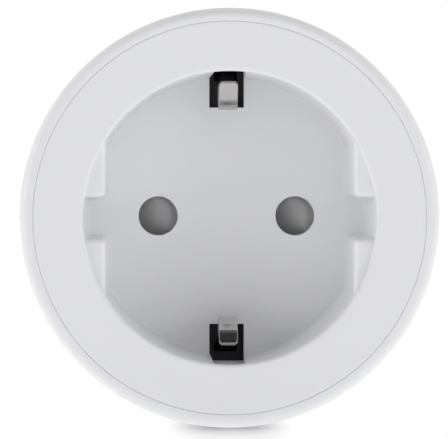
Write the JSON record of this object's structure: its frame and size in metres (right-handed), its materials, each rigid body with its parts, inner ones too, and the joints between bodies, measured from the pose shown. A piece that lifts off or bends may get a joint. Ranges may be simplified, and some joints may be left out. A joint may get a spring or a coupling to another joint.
{
  "type": "plug in power meter",
  "caption": "Round white plug-in power meter: a shuttered earthed socket in the front of a short barrel and an earthed two-pin plug boss on its back.",
  "frame": {"origin": "centre of the flat end of the plug boss, where it meets a wall socket's recess floor", "axes": "Y along the barrel: +Y towards the plug pins' tips, -Y towards the socket face; +Z towards the upper earth clip and the button, +X towards the line pin"},
  "size_m": [0.056, 0.0838, 0.0566],
  "materials": {
    "white_plastic": "fine satin moulding",
    "clear_plastic": "clear acrylic",
    "zinc_steel": "zinc plated",
    "black_plastic": "moulded",
    "grey_plastic": "moulded",
    "brass": "stamped",
    "nickel": "nickel plated",
    "wire_sleeve": "vinyl sleeve",
    "board_laminate": "solder mask",
    "relay_plastic": "moulded",
    "moulded_epoxy": "moulded",
    "coil_copper": "enamelled winding",
    "film_capacitor_case": "moulded",
    "varistor_coating": "dipped",
    "resistor_coating": "coated",
    "shunt_alloy": "bare strip",
    "led_package": "moulded"
  },
  "bodies": {
    "housing": {"barrel_casing": "white_plastic", "socket_face": "white_plastic", "rear_cover": "white_plastic", "pin_retainer": "white_plastic", "light_pipe": "clear_plastic", "casing_screw_1": "zinc_steel", "casing_screw_2": "zinc_steel", "casing_screw_3": "zinc_steel", "casing_screw_4": "zinc_steel", "retainer_screw_1": "zinc_steel", "retainer_screw_2": "zinc_steel", "contact_carrier": "black_plastic", "line_contact": "brass", "neutral_contact": "brass", "earth_bridge": "brass", "earth_rivet_upper": "nickel", "earth_rivet_lower": "nickel", "earth_wire": "wire_sleeve", "plug_pin_line": "nickel", "plug_pin_neutral": "nickel", "plug_earth_contact_upper": "nickel", "plug_earth_contact_lower": "nickel", "rear_earth_strap": "brass", "earth_socket_tube": "nickel", "main_board": "board_laminate", "radio_board": "board_laminate", "radio_shield": "zinc_steel", "relay_case": "relay_plastic", "relay_base": "moulded_epoxy", "relay_coil": "coil_copper", "filter_capacitor": "film_capacitor_case", "smoothing_capacitor": "moulded_epoxy", "varistor": "varistor_coating", "choke_inductor": "moulded_epoxy", "fusible_resistor": "resistor_coating", "shunt_resistor": "shunt_alloy", "metering_chip": "moulded_epoxy", "power_converter_chip": "moulded_epoxy", "bridge_rectifier": "moulded_epoxy", "indicator_led": "led_package", "tact_switch": "moulded_epoxy", "shutter_spring": "zinc_steel"},
    "power_button": {"power_button": "white_plastic"},
    "tact_plunger": {"tact_plunger": "grey_plastic"},
    "shutter": {"shutter": "grey_plastic"},
    "earth_clip_upper": {"earth_clip_upper": "nickel"},
    "earth_clip_lower": {"earth_clip_lower": "nickel"},
    "relay_armature": {"relay_armature": "zinc_steel"}
  },
  "joints": [
    {"name": "button_press", "type": "slide", "parent": "housing", "child": "power_button", "axis": [0, 0, -1], "range_m": [0, 0.00035], "stiffness_N_per_m": 600},
    {"name": "plunger_press", "type": "slide", "parent": "housing", "child": "tact_plunger", "axis": [0, 0, -1], "range_m": [0, 0.00035]},
    {"name": "shutter_slide", "type": "slide", "parent": "housing", "child": "shutter", "axis": [1, 0, 0], "range_m": [0, 0.0058], "stiffness_N_per_m": 120, "deforming": ["shutter_spring"]},
    {"name": "upper_clip_flex", "type": "hinge", "parent": "housing", "child": "earth_clip_upper", "pos_m": [0, -0.0363, 0.0194], "axis": [-1, 0, 0], "range_deg": [0, 3], "stiffness_Nm_per_rad": 0.8},
    {"name": "lower_clip_flex", "type": "hinge", "parent": "housing", "child": "earth_clip_lower", "pos_m": [0, -0.0363, -0.0184], "axis": [1, 0, 0], "range_deg": [0, 3], "stiffness_Nm_per_rad": 0.8},
    {"name": "armature_swing", "type": "hinge", "parent": "housing", "child": "relay_armature", "pos_m": [0.0049, -0.0252, -0.0107], "axis": [0, 0, -1], "range_deg": [0, 4], "stiffness_Nm_per_rad": 0.02}
  ],
  "couplings": [
    {"joint": "plunger_press", "follows": "button_press", "ratio": 1}
  ]
}
